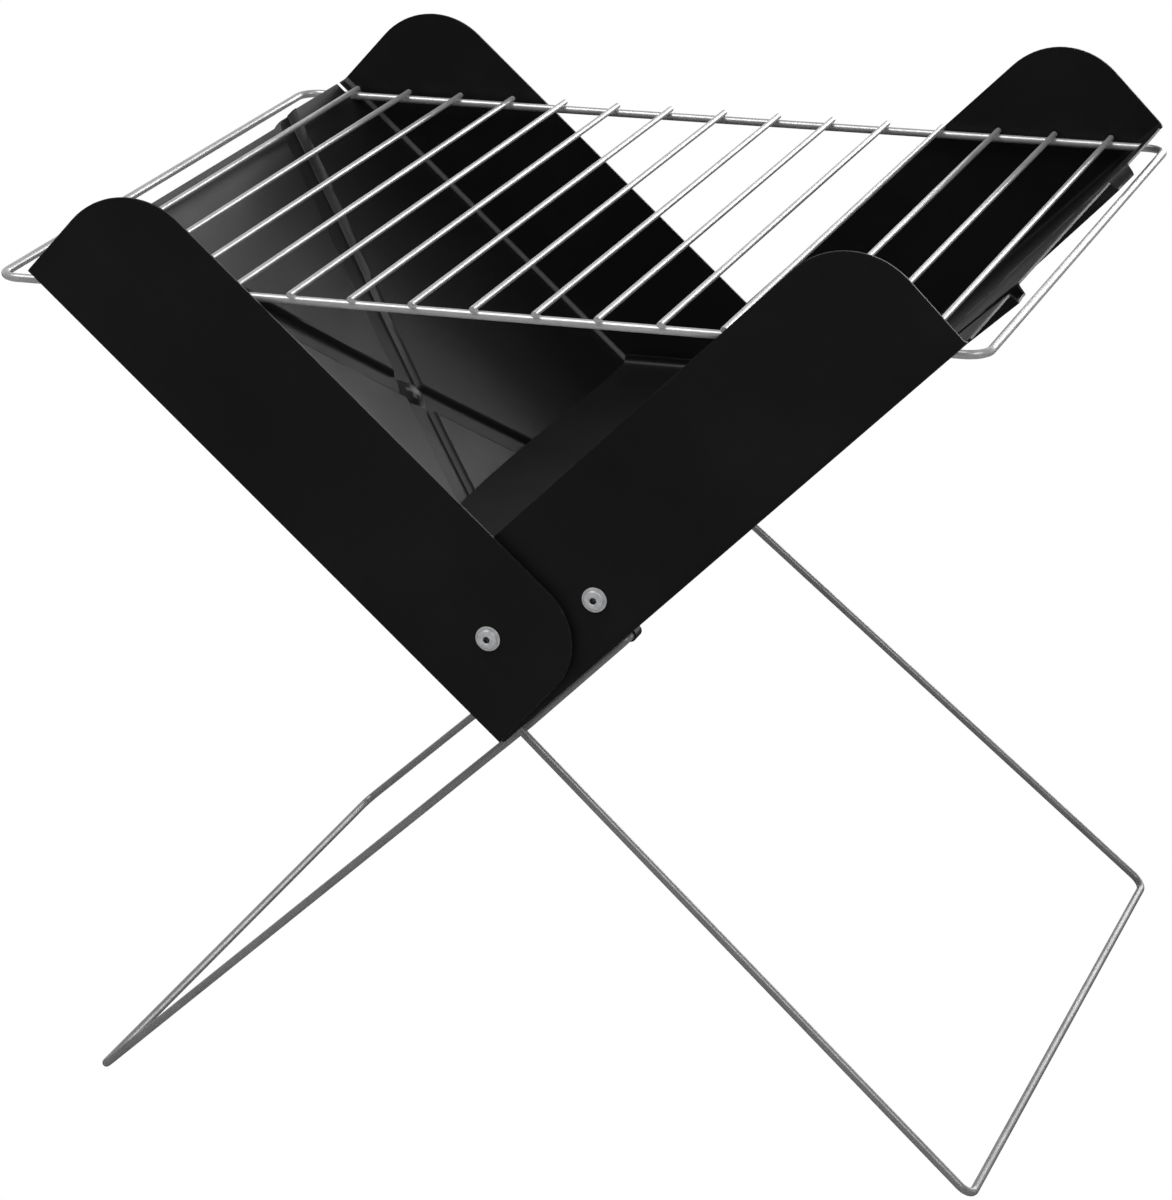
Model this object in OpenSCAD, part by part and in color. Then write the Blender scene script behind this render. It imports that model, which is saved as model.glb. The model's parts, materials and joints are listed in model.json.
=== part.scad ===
// Folding charcoal grill: two sheet trays hinged into a V, each on a leg of bent wire, with a
// wire grate on top and a level charcoal plate inside. X is level across the V, Y runs along
// the hinge and Z is up. The outer tray rises to -X, the inner tray to +X and the front is -Y.
// The feet stand on z = 0.

/* [Trays] */
// Outside width of the outer tray, cheek face to cheek face
tray_w = 394; // [392:1:400]
// Sheet thickness of the trays
sheet = 1; // [0.9:0.1:1.2]
// Height of the side cheeks over the outer face of the tray floor
cheek_h = 73.3; // [72:0.1:74]
// Distance from the main pivot to the top end of the outer tray
outer_top = 266.5; // [262:0.5:270]
// Distance from the main pivot to the top end of the inner tray
inner_top = 265; // [262:0.5:268]
// Distance from the main pivot to the bottom end of the outer tray
outer_bottom = 37.3; // [37.2:0.1:37.4]
// Distance from the main pivot to the bottom end of the inner tray
inner_bottom = 33; // [32.6:0.1:33]
// Distance from the main pivot to the outer face of the outer tray's floor
outer_depth = 35.3; // [35.2:0.1:35.4]
// Distance from the main pivot to the outer face of the inner tray's floor
inner_depth = 40.7; // [40.7:0.1:41]
// Radius of the cheek corner at the top end
cheek_r_top = 37; // [30:1:38]
// Radius of the outer tray's cheek corner at the bottom end
cheek_r_bottom = 32; // [28:1:32]
// Gap between an outer cheek and the inner cheek beside it
cheek_gap = 3; // [3:0.1:3.4]
// Inside radius of the sheet bends
bend_r = 1.5; // [1:0.25:2]

/* [Stance] */
// Slope of the outer tray over the ground
slope_outer = 42.6; // [42.5:0.1:42.7]
// Slope of the inner tray over the ground
slope_inner = 44; // [43.9:0.1:44.1]
// Height of the main pivot over the wire axis of the feet
pivot_drop = 252.2; // [250:0.1:255]

/* [Embossing] */
// Width of the pressed cross ribs
rib_w = 17; // [14:1:20]
// Depth of the pressed cross ribs
rib_d = 5; // [4:0.5:5.5]
// Half spread of the cross ribs at the top end
rib_spread = 113; // [105:1:115]
// Distance from the top end to the middle of the cross
cross_top = 153; // [150:1:155]
// Depth of the dip between the ears of the top end
dip_d = 3.2; // [2:0.2:4]

/* [Wire] */
// Wire diameter of the legs and of the grate frame
wire_d = 4; // [3.9:0.1:4]
// Wire diameter of the grate rods
rod_d = 3; // [2.8:0.1:3.2]
// Half width of the wide leg at its foot
wide_foot = 187.5; // [187:0.5:188]
// Half width of the wide leg at its pivots
wide_top = 162.9; // [162.5:0.1:163.5]
// Half width of the narrow leg at its foot
narrow_foot = 178.5; // [178:0.5:179]
// Half width of the narrow leg at its pivots
narrow_top = 158; // [157.5:0.1:158.5]
// Distance of the leg pivots from the main pivot, along the tray
leg_pivot = 31.6; // [31:0.1:33]
// Corner radius of the leg feet
foot_r = 7; // [6:0.5:9]

/* [Grate] */
// Height of the grate over the main pivot
grate_z = 148.6; // [148:0.1:149.2]
// Left end of the grate, from the main pivot
grate_left = 239; // [236:1:241]
// Right end of the grate, from the main pivot
grate_right = 226; // [225:1:228]
// Half width of the grate between its side wires
grate_half = 187; // [186:0.5:187.5]
// Number of cross rods
rod_count = 15; // [12:1:18]

/* [Charcoal plate] */
// Height of the underside of the charcoal plate over the main pivot
plate_z = 11.2; // [11:0.1:11.5]
// Distance of the plate hinge from the main pivot, along the inner tray
hinge_along = 51.25; // [51:0.25:51.5]
// Distance of the plate hinge from the main pivot, towards the inner tray's floor
hinge_depth = 18.5; // [18.4:0.1:18.6]
// Diameter of the air holes
air_d = 10; // [6:1:14]

/* [Fasteners] */
// Bolt diameter
bolt_d = 5; // [4.9:0.05:5]
// Diameter of the flange under the bolt heads
head_d = 11.8; // [11:0.1:12]
// Diameter of the clip rivets
rivet_d = 3; // [2.8:0.1:3.2]

/* [Hidden] */
$fn = 48;
wire_fn = 24; // round a wire
arc_fn = 96; // along a bend or a cheek corner

wire_colour = [0.8, 0.8, 0.8];
bolt_colour = [0.75, 0.75, 0.76];
clip_colour = [0.08, 0.08, 0.085];
rivet_colour = [0.6, 0.6, 0.62];

outer_half = tray_w / 2; // outer faces of the outer cheeks
inner_half = outer_half - sheet - cheek_gap; // outer faces of the inner cheeks
inside_half = inner_half - sheet; // inner faces of the inner cheeks
wire_r = wire_d / 2;
bend_swell = 0.06; // wire bends are this much thicker than the wire

// main pivot: the grate's ends are centred on x = 0 and the feet stand on z = 0
pivot_x = (grate_left - grate_right) / 2;
pivot_z = pivot_drop + wire_r + bend_swell / 2;

hole_d = bolt_d + 0.1; // clearance hole
running_d = bolt_d + 0.12; // hole that turns on the bolt

// legs: the wire lies along the tray's floor, then bends slightly past the tray's bottom end
wire_lift = 2.4; // wire axis off the outer face
wide_tilt = 0.87;
narrow_tilt = 1.9;
axle_l = 15;
axle_r = 5;

clip_w = 8;
clip_t = 1;
clip_gap = 0.8; // between a clip and the bend of the axle
wide_clip_y = wide_top - axle_r - clip_gap - clip_w / 2;
narrow_clip_y = narrow_top - axle_r - clip_gap - clip_w / 2;
rivet_offset = 7.6; // each side of the leg pivot
rivet_hole_d = rivet_d + 0.1;

// From the main pivot, [x, z] of a point `along` up a tray that rises to +X and `depth`
// towards its floor
function in_tray(along, depth, slope) = [
    along * cos(slope) + depth * sin(slope),
    along * sin(slope) - depth * cos(slope)];
// Distance up a tray at which the inner face of its floor reaches height z
function floor_along(z, depth, slope) = (z + (depth - sheet) * cos(slope)) / sin(slope);
// Lower y of a wall whose outer face is at `outer` on side s
function wall_y(s, outer, thick) = s > 0 ? outer - thick : -outer;

// charcoal plate: from the outer tray's floor to past the hinge
hinge = in_tray(hinge_along, hinge_depth, slope_inner);
outer_floor_x = -in_tray(floor_along(plate_z, outer_depth, slope_outer),
    outer_depth - sheet, slope_outer)[0];
plate_left = outer_floor_x + 0.5;
plate_right = hinge[0] + 16.8;
plate_gap = 0.6; // to the inner cheeks
plate_half = inside_half - plate_gap;

// slots for the side wires of the grate
slot_gap = 0.6;
slot_outer = floor_along(grate_z - wire_r, outer_depth, slope_outer) - slot_gap;
slot_inner = floor_along(grate_z - wire_r, inner_depth, slope_inner) - slot_gap;

// ---- Placing. Tray frame: X up the tray, Z to the inside, origin on the main pivot.
module place_level() translate([pivot_x, 0, pivot_z]) children();
module place_outer() place_level() mirror([1, 0, 0]) rotate([0, -slope_outer, 0]) children();
module place_inner() place_level() rotate([0, -slope_inner, 0]) children();
// side -1 is the front, side 1 the rear
module flip(side) mirror([0, side > 0 ? 1 : 0, 0]) children();
module at_pivot(side) place_level() flip(side) children();
module at_hinge(side) place_level() translate([hinge[0], 0, hinge[1]]) flip(side) children();

// ---- Wire bent in the XY plane: straight runs and true bends
function unit(v) = v / norm(v);
// signed angle from direction a to direction b
function turn(a, b) = atan2(a[0] * b[1] - a[1] * b[0], a[0] * b[0] + a[1] * b[1]);
// distance from corner i to where its bend starts
function setback(points, radii, i) =
    radii[i] * tan(abs(turn(points[i] - points[i - 1], points[i + 1] - points[i])) / 2);

module wire_run(start, end) {
    run = end - start;
    translate([start[0], start[1], 0]) rotate([0, 0, atan2(run[1], run[0])]) rotate([0, 90, 0])
        cylinder(h = norm(run), d = wire_d, $fn = wire_fn);
}
module wire_arc(r, angle, d)
    rotate_extrude(angle = angle, $fn = arc_fn) translate([r, 0]) circle(d = d, $fn = wire_fn);
module wire_bend(corner, dir_in, dir_out, r) {
    angle = turn(dir_in, dir_out);
    start = corner - dir_in * (r * tan(abs(angle) / 2));
    normal = angle > 0 ? [-dir_in[1], dir_in[0]] : [dir_in[1], -dir_in[0]];
    centre = start + normal * r;
    first = atan2(start[1] - centre[1], start[0] - centre[0]);
    translate([centre[0], centre[1], 0]) rotate([0, 0, first + min(angle, 0)])
        wire_arc(r, abs(angle), wire_d + bend_swell);
}
// points are the sharp corners, radii the bend at each; the two ends aren't bent
module wire(points, radii) {
    last = len(points) - 1;
    overlap = 0.2; // of a run into its bends
    for (i = [0 : last - 1]) {
        dir = unit(points[i + 1] - points[i]);
        trim_start = i > 0 ? setback(points, radii, i) - overlap : 0;
        trim_end = i + 1 < last ? setback(points, radii, i + 1) - overlap : 0;
        wire_run(points[i] + dir * trim_start, points[i + 1] - dir * trim_end);
    }
    for (i = [1 : last - 1])
        wire_bend(points[i], unit(points[i] - points[i - 1]), unit(points[i + 1] - points[i]),
            radii[i]);
}
// closed rectangle of wire with round corners
module wire_ring(x0, x1, half, r) {
    for (s = [-1, 1]) translate([x0 + r, s * half, 0]) rotate([0, 90, 0])
        cylinder(h = x1 - x0 - 2 * r, d = wire_d, $fn = wire_fn);
    for (x = [x0, x1]) translate([x, -half + r, 0]) rotate([-90, 0, 0])
        cylinder(h = 2 * (half - r), d = wire_d, $fn = wire_fn);
    // x and y of the bend's centre, start angle
    for (corner = [
        [x1 - r, half - r, 0], [x0 + r, half - r, 90],
        [x0 + r, -half + r, 180], [x1 - r, -half + r, 270]])
        translate([corner[0], corner[1], 0]) rotate([0, 0, corner[2]]) wire_arc(r, 90, wire_d);
}

// ---- Pressed sheet trays
module along_x(x0, x1) translate([x0, 0, 0]) rotate([90, 0, 90]) linear_extrude(x1 - x0) children();
// floor and two cheeks, with round bends between them
module u_section(half, depth) {
    outer_r = bend_r + sheet;
    bend_y = -depth + outer_r;
    difference() {
        union() {
            translate([-half, bend_y]) square([2 * half, cheek_h - outer_r]);
            translate([-half + outer_r, -depth]) square([2 * (half - outer_r), outer_r + 0.01]);
            for (s = [-1, 1]) translate([s * (half - outer_r), bend_y]) circle(r = outer_r);
        }
        translate([-half + sheet, bend_y]) square([2 * (half - sheet), cheek_h]);
        translate([-half + outer_r, -depth + sheet]) square([2 * (half - outer_r), outer_r]);
        for (s = [-1, 1]) translate([s * (half - outer_r), bend_y]) circle(r = bend_r);
    }
}
// two crossed bars of trapezoid section: half widths at the face and at the bottom
module cross_bars(x, angle, down, up, face_z, bottom_z, face_half, bottom_half)
    for (s = [-1, 1]) translate([x, 0, 0]) rotate([0, 0, s * angle]) along_x(-down, up)
        polygon([[-bottom_half, bottom_z], [bottom_half, bottom_z],
            [face_half, face_z], [-face_half, face_z]]);
// rounds both cheeks' corner at x, z; end is 1 at the top end, -1 at the bottom end
module corner_cut(x, z, r, end, half)
    translate([x - end * r, 0, z - r]) rotate([90, 0, 0])
        linear_extrude(2 * half + 4, center = true) difference() {
            translate([end > 0 ? 0 : -r - 2, 0]) square([r + 2, r + 2]);
            circle(r = r, $fn = arc_fn);
        }
// children are cut away too
module tray(half, depth, top, bottom, r_bottom, slot) {
    cross_x = top - cross_top;
    angle = atan(rib_spread / cross_top);
    up = cross_top / cos(angle) + 12; // past the top end, trimmed there
    down = (cross_x + bottom - 14) / cos(angle);
    floor_z = -depth + sheet;
    dip_half = 94;
    ear_half = 114; // where the ears reach full height
    difference() {
        union() {
            difference() {
                union() {
                    along_x(-bottom, top) u_section(half, depth);
                    cross_bars(cross_x, angle, down, up, -depth + 0.4, -depth - rib_d,
                        rib_w / 2 + 0.3, rib_w / 2 - 3);
                }
                // hollow of the ribs
                cross_bars(cross_x, angle, down - 1, up + 1, floor_z + 0.02, floor_z - rib_d,
                    rib_w / 2 - 0.7, rib_w / 2 - 3.9);
            }
            // round boss in the middle of the cross, pressed back to the inside
            translate([cross_x, 0, -depth - rib_d + 0.2]) cylinder(h = 2.2, d1 = 15, d2 = 10);
        }
        translate([cross_x, 0, -depth - rib_d - 0.5]) cylinder(h = 1.9, d1 = 13, d2 = 8);
        // everything past the top end, then the dip between the ears, then the wire slots
        translate([top, -half - 1, -depth - 20]) cube([30, 2 * half + 2, 40]);
        translate([0, 0, -depth - 15]) linear_extrude(30) polygon([
            [top - dip_d, -dip_half], [top, -ear_half], [top + 1, -ear_half],
            [top + 1, ear_half], [top, ear_half], [top - dip_d, dip_half]]);
        for (s = [-1, 1])
            translate([slot, s * grate_half - wire_r - slot_gap, -depth - 8])
                cube([30, wire_d + 2 * slot_gap, 12]);
        corner_cut(top, -depth + cheek_h, cheek_r_top, 1, half);
        corner_cut(-bottom, -depth + cheek_h, r_bottom, -1, half);
        children();
    }
}
// hole through both sides
module cross_hole(x, z, d)
    translate([x, 0, z]) rotate([90, 0, 0]) cylinder(h = tray_w + 20, d = d, center = true);
// the two rivet holes of a clip at y
module rivet_holes(depth, y) for (k = [-1, 1])
    translate([leg_pivot + k * rivet_offset, y, -depth - 3]) cylinder(h = 6, d = rivet_hole_d);

module outer_tray() color([0.05, 0.05, 0.055]) place_outer()
    tray(outer_half, outer_depth, outer_top, outer_bottom, cheek_r_bottom, slot_outer) {
        cross_hole(0, 0, hole_d);
        for (s = [-1, 1]) rivet_holes(outer_depth, s * wide_clip_y);
    }
module inner_tray() color([0.055, 0.055, 0.06]) place_inner()
    tray(inner_half, inner_depth, inner_top, inner_bottom, inner_bottom - 1, slot_inner) {
        cross_hole(0, 0, running_d);
        cross_hole(hinge_along, -hinge_depth, hole_d);
        for (s = [-1, 1]) rivet_holes(inner_depth, s * narrow_clip_y);
        // the cheeks stop short of the outer tray's floor
        for (s = [-1, 1])
            translate([-inner_bottom - 1, wall_y(s, inner_half + 1, sheet + 2),
                -inner_depth + sheet + 0.1])
                cube([3, sheet + 2, cheek_h]);
    }

// ---- Charcoal plate: level shelf with upturned sides, hinged on the inner tray
module coal_plate() color([0.07, 0.07, 0.075]) place_level() {
    length = plate_right - plate_left;
    rim_h = 5;
    lug_w = 12;
    difference() {
        union() {
            translate([plate_left, -plate_half, plate_z]) cube([length, 2 * plate_half, sheet]);
            for (s = [-1, 1]) translate([0, wall_y(s, plate_half, sheet), 0]) {
                translate([plate_left, 0, plate_z]) cube([length, sheet, rim_h]);
                translate([hinge[0] - lug_w / 2, 0, plate_z])
                    cube([lug_w, sheet, hinge[1] - plate_z]);
                translate([hinge[0], 0, hinge[1]]) rotate([-90, 0, 0])
                    cylinder(h = sheet, d = lug_w);
            }
        }
        cross_hole(hinge[0], hinge[1], running_d);
        for (x = [-22, 6, 34], y = [-150 : 50 : 150])
            translate([x, y, plate_z - 1]) cylinder(h = sheet + 2, d = air_d);
    }
}

// ---- Cooking grate: ring of wire with rods across it
module grate_frame() color(wire_colour) place_level()
    translate([0, 0, grate_z]) wire_ring(-grate_left, grate_right, grate_half, r = 10);
module grate_rods() color(wire_colour) place_level() {
    pitch = (grate_left + grate_right) / (rod_count + 1);
    sink = 0.35; // of the rods into the frame
    overhang = 1.5;
    for (i = [1 : rod_count])
        translate([-grate_left + i * pitch, 0, grate_z + wire_r + rod_d / 2 - sink])
            rotate([90, 0, 0])
                cylinder(h = 2 * (grate_half + wire_r + overhang), d = rod_d, center = true,
                    $fn = wire_fn);
}

// ---- Legs: U of wire with its ends turned in as axles
// side is -1 under the outer tray, 1 under the inner tray
module leg(side, depth, bottom, slope, tilt, top, foot) {
    pivot = in_tray(leg_pivot, depth + wire_lift, slope);
    lay = bottom + leg_pivot; // length beside the tray
    free = (pivot_drop + pivot[1] - lay * sin(slope)) / sin(slope - tilt); // length past it
    knee = top + (foot - top) * lay / (lay + free); // half width where it leaves the tray
    // both runs stop short of the knee, inside a short sleeve a little thicker than the wire
    lay_trim = unit([lay, knee - top]) * 0.3;
    free_trim = unit([free, foot - knee]) * 0.3;
    place_level() translate([side * pivot[0], 0, pivot[1]]) mirror([side > 0 ? 1 : 0, 0, 0])
        rotate([0, slope, 0]) {
            for (s = [-1, 1]) {
                wire([[0, s * (top - axle_l)], [0, s * top],
                    [lay - lay_trim[0], s * (knee - lay_trim[1])]], [0, axle_r, 0]);
                translate([lay, s * knee, 0]) rotate([0, -tilt / 2, 0])
                    rotate([0, 90, s * atan((foot - top) / (lay + free))])
                        cylinder(h = 1.8, d = wire_d + 0.2, center = true, $fn = wire_fn);
            }
            translate([lay, 0, 0]) rotate([0, -tilt, 0])
                wire([[free_trim[0], knee + free_trim[1]], [free, foot],
                    [free, -foot], [free_trim[0], -knee - free_trim[1]]], [0, foot_r, foot_r, 0]);
        }
}
module wide_leg() color(wire_colour)
    leg(-1, outer_depth, outer_bottom, slope_outer, wide_tilt, wide_top, wide_foot);
module narrow_leg() color(wire_colour)
    leg(1, inner_depth, inner_bottom, slope_inner, narrow_tilt, narrow_top, narrow_foot);

// ---- Omega clip that holds a leg's axle against the tray's outer face
module clip(depth) {
    inner_r = wire_r + 0.06;
    outer_r = inner_r + clip_t;
    flange_half = 11.5;
    translate([leg_pivot, 0, -depth]) rotate([90, 0, 0])
        linear_extrude(clip_w, center = true) difference() {
            union() {
                translate([0, -wire_lift]) circle(r = outer_r);
                translate([-outer_r, -wire_lift]) square([2 * outer_r, wire_lift]);
                translate([-flange_half, -clip_t]) square([2 * flange_half, clip_t]);
            }
            translate([0, -wire_lift]) circle(r = inner_r);
            translate([-inner_r, -wire_lift]) square([2 * inner_r, wire_lift + 1]);
            translate([-20, 0]) square([40, 10]);
        }
}
module drilled_clip(depth, y) translate([0, y, 0]) difference() {
    clip(depth);
    rivet_holes(depth, 0);
}
// shank through floor and clip, a low head on each side cut flush with the sheet faces
module rivet(depth) {
    head_h = 1;
    head_base = 5.6;
    head_top = 4.2;
    overlap = 0.1; // of a head over the end of the shank
    low = -depth - clip_t;
    high = -depth + sheet;
    difference() {
        union() {
            translate([0, 0, low + overlap - head_h])
                cylinder(h = head_h, d1 = head_top, d2 = head_base);
            translate([0, 0, low]) cylinder(h = clip_t + sheet, d = rivet_d);
            translate([0, 0, high - overlap]) cylinder(h = head_h, d1 = head_base, d2 = head_top);
        }
        for (z = [low, high - overlap]) translate([0, 0, z]) difference() {
            cylinder(h = overlap, d = 9);
            translate([0, 0, -1]) cylinder(h = 3, d = rivet_d);
        }
    }
}
module rivets(depth, clip_y) for (s = [-1, 1], k = [-1, 1])
    translate([leg_pivot + k * rivet_offset, s * clip_y, 0]) rivet(depth);

module wide_clip(side) color(clip_colour) place_outer()
    drilled_clip(outer_depth, side * wide_clip_y);
module narrow_clip(side) color(clip_colour) place_inner()
    drilled_clip(inner_depth, side * narrow_clip_y);
module wide_clip_rivets() color(rivet_colour) place_outer() rivets(outer_depth, wide_clip_y);
module narrow_clip_rivets() color(rivet_colour) place_inner() rivets(inner_depth, narrow_clip_y);

// ---- Bolts, washers and nuts, drawn for the front with the head towards -Y
washer_d = 10;
pivot_washer_t = 0.8;
plate_washer_t = 0.5;
nut_h = 3.2;
head_gap = 0.02; // between a bolt head and its cheek
part_gap = 0.03; // between stacked parts

// seat_y is the plane under the head
module bolt(seat_y, length, head_h) {
    difference() {
        union() {
            translate([0, seat_y + 0.01, 0]) rotate([90, 0, 0]) cylinder(h = 1.11, d = head_d);
            translate([0, seat_y - 1, 0]) rotate([90, 0, 0])
                cylinder(h = head_h - 1, d1 = 9.6, d2 = 6.4);
            translate([0, seat_y, 0]) rotate([-90, 0, 0]) cylinder(h = length, d = bolt_d);
        }
        // hexagon socket, 3 across its flats
        translate([0, seat_y - head_h - 1, 0]) rotate([-90, 0, 0])
            cylinder(h = 2.6, d = 3.464, $fn = 6);
    }
}
module washer(y, thick) translate([0, y, 0]) rotate([-90, 0, 0]) difference() {
    cylinder(h = thick, d = washer_d);
    translate([0, 0, -1]) cylinder(h = thick + 2, d = hole_d);
}
module nut(y, collar) translate([0, y, 0]) rotate([-90, 0, 0]) difference() {
    union() {
        cylinder(h = nut_h, d = 9.24, $fn = 6);
        if (collar > 0) translate([0, 0, nut_h - 0.01]) cylinder(h = collar, d = 7.6);
    }
    translate([0, 0, -1]) cylinder(h = nut_h + collar + 2, d = bolt_d + 0.04);
}

module pivot_bolt(side) color(bolt_colour) at_pivot(side)
    bolt(-outer_half - head_gap, 2 * sheet + cheek_gap + pivot_washer_t + 6.2, head_h = 2.75);
module pivot_spacer(side) color([0.7, 0.7, 0.72]) at_pivot(side)
    washer(-outer_half + sheet + 0.02, cheek_gap - 0.06);
module pivot_washer(side) color(bolt_colour) at_pivot(side)
    washer(-inside_half + part_gap, pivot_washer_t);
module pivot_nut(side) color(bolt_colour) at_pivot(side)
    nut(-inside_half + pivot_washer_t + 2 * part_gap, collar = 1.8);
module plate_bolt(side) color(bolt_colour) at_hinge(side)
    bolt(-inner_half - head_gap, 2 * sheet + plate_gap + 4.6, head_h = 2.6);
module plate_washer(side) color(bolt_colour) at_hinge(side)
    washer(-inside_half + part_gap, plate_washer_t);
module plate_nut(side) color(bolt_colour) at_hinge(side)
    nut(-plate_half + sheet + 2 * part_gap, collar = 0);

outer_tray();
inner_tray();
coal_plate();
grate_frame();
grate_rods();
wide_leg();
narrow_leg();
pivot_bolt(-1);  // pivot_bolt_front
pivot_bolt(1);  // pivot_bolt_rear
pivot_spacer(-1);  // pivot_spacer_front
pivot_spacer(1);  // pivot_spacer_rear
pivot_washer(-1);  // pivot_washer_front
pivot_washer(1);  // pivot_washer_rear
pivot_nut(-1);  // pivot_nut_front
pivot_nut(1);  // pivot_nut_rear
plate_bolt(-1);  // plate_bolt_front
plate_bolt(1);  // plate_bolt_rear
plate_washer(-1);  // plate_washer_front
plate_washer(1);  // plate_washer_rear
plate_nut(-1);  // plate_nut_front
plate_nut(1);  // plate_nut_rear
wide_clip(-1);  // wide_clip_front
wide_clip(1);  // wide_clip_rear
narrow_clip(-1);  // narrow_clip_front
narrow_clip(1);  // narrow_clip_rear
wide_clip_rivets();
narrow_clip_rivets();
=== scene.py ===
"""Folding charcoal grill: two pressed sheet trays hinged into a V, with U-shaped wire legs,
a charcoal plate between the trays and a wire grate across their upper ends.

The fold axis runs along Y, and the front is towards -Y. The outer tray rises towards -X and the
inner tray towards +X; Z is up. Meshes are worked out in mm and stored in metres.
"""
import json
import math

import bmesh
import bpy
from mathutils import Matrix, Vector, noise


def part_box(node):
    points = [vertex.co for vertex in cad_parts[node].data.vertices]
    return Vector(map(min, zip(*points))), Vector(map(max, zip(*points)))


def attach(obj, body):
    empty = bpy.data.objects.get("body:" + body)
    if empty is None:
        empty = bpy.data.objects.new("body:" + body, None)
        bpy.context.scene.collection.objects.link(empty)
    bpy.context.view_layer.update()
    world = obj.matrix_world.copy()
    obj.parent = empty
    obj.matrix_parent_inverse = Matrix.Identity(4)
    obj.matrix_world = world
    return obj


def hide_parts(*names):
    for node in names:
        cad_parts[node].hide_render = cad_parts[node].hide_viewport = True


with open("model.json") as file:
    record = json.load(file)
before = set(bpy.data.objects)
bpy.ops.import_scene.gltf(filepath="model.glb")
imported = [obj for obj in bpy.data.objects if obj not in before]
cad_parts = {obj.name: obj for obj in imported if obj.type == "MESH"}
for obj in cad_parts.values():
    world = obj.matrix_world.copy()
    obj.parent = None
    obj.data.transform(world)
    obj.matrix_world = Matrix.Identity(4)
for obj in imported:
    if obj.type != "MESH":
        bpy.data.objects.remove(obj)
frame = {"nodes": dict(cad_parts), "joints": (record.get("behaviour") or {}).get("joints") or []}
bpy.context.view_layer.update()
joints = {j["name"]: j for j in frame["joints"]}
MM = 0.001

# ------------------------------------------------------------------ driving dimensions, in mm
FOLD = Vector(joints["tray_fold"]["pos_m"]) / MM
WIDE_PIVOT = Vector(joints["wide_leg_swing"]["pos_m"]) / MM
NARROW_PIVOT = Vector(joints["narrow_leg_swing"]["pos_m"]) / MM
OUTER_SLOPE, INNER_SLOPE = 42.6, 44.0   # degrees from level
SHEET = 1.0                             # sheet thickness
BEND = 2.3                              # radius inside a tray's bends
CHEEK_H = 73.3                          # height of a tray's side cheeks
CHEEK_TOP_R = 37.0                      # rounding of a cheek's upper corner
CROSS_FROM_TOP = 153.0                  # centre of the pressed cross, from the tray's upper edge
DISH, DISH_HALF = 3.0, 150.0            # depth and half width of the drawn-out floor
FOOT_DROP = 252.2                       # from the fold down to the legs' feet
WIRE_R, ROD_R = 2.0, 1.5
GRATE_HALF = 187.0                      # half width of the grate, and of its slots in the trays
SLOT_HALF = 2.6
GRATE_X0, GRATE_X1 = FOLD.x - 239.0, FOLD.x + 226.0
GRATE_Z = FOLD.z + 148.6
RODS = 15


def cad(node_name):
    """Lower and upper corner of a CAD node, in mm."""
    low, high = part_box(node_name)
    return low / MM, high / MM


def cad_axis(node_name):
    """X and Z of the axis of a turned CAD part."""
    low, high = cad(node_name)
    return (low.x + high.x) / 2, (low.z + high.z) / 2


# ------------------------------------------------------------------ objects and modifiers
def link_mesh(name, bm):
    mesh = bpy.data.meshes.new(name)
    bm.to_mesh(mesh)
    bm.free()
    ob = bpy.data.objects.new(name, mesh)
    bpy.context.scene.collection.objects.link(ob)
    return ob


def new_object(name, bm, body, place=Matrix.Identity(4)):
    """A finished bmesh in mm becomes an object in metres on a body."""
    bmesh.ops.transform(bm, matrix=Matrix.Scale(MM, 4) @ place, verts=bm.verts)
    if place.determinant() < 0:
        bmesh.ops.reverse_faces(bm, faces=bm.faces)
    ob = link_mesh(name, bm)
    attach(ob, body)
    return ob


def apply_modifiers(ob):
    bpy.context.view_layer.update()
    depsgraph = bpy.context.evaluated_depsgraph_get()
    mesh = bpy.data.meshes.new_from_object(ob.evaluated_get(depsgraph))
    ob.modifiers.clear()
    old = ob.data
    ob.data = mesh
    mesh.name = ob.name
    bpy.data.meshes.remove(old)


def smooth_by_angle(ob, angle):
    """Smooth faces, with edges over the angle kept sharp and normals weighted by face area."""
    bm = bmesh.new()
    bm.from_mesh(ob.data)
    limit = math.radians(angle)
    for face in bm.faces:
        face.smooth = True
    for edge in bm.edges:
        edge.smooth = not (len(edge.link_faces) != 2 or edge.calc_face_angle(0.0) > limit)
    bm.to_mesh(ob.data)
    bm.free()
    weighted = ob.modifiers.new("weighted", "WEIGHTED_NORMAL")
    weighted.keep_sharp = True
    weighted.weight = 60


def bevel(ob, width, angle):
    edge = ob.modifiers.new("edge", "BEVEL")
    edge.width = width * MM
    edge.segments = 2
    edge.limit_method = "ANGLE"
    edge.angle_limit = math.radians(angle)
    edge.miter_outer = "MITER_ARC"
    edge.use_clamp_overlap = True


def thicken(ob):
    solid = ob.modifiers.new("sheet", "SOLIDIFY")
    solid.thickness = SHEET * MM
    solid.offset = -1
    solid.use_even_offset = True
    solid.use_quality_normals = True
    return solid


def subtract(ob, name, bm, use_self=False):
    """Adds a boolean cut by a bmesh in mm; the returned cutter goes once it is applied."""
    bmesh.ops.recalc_face_normals(bm, faces=bm.faces)
    bmesh.ops.transform(bm, matrix=Matrix.Scale(MM, 4), verts=bm.verts)
    cutter = link_mesh(name, bm)
    boolean = ob.modifiers.new("cut", "BOOLEAN")
    boolean.operation = "DIFFERENCE"
    boolean.solver = "EXACT"
    boolean.use_self = use_self
    boolean.object = cutter
    return cutter


# ------------------------------------------------------------------ mesh helpers
def smoothstep(x):
    x = min(max(x, 0.0), 1.0)
    return x * x * (3 - 2 * x)


def steps(start, stop, step):
    out = []
    while start < stop:
        out.append(start)
        start += step
    return out


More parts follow.
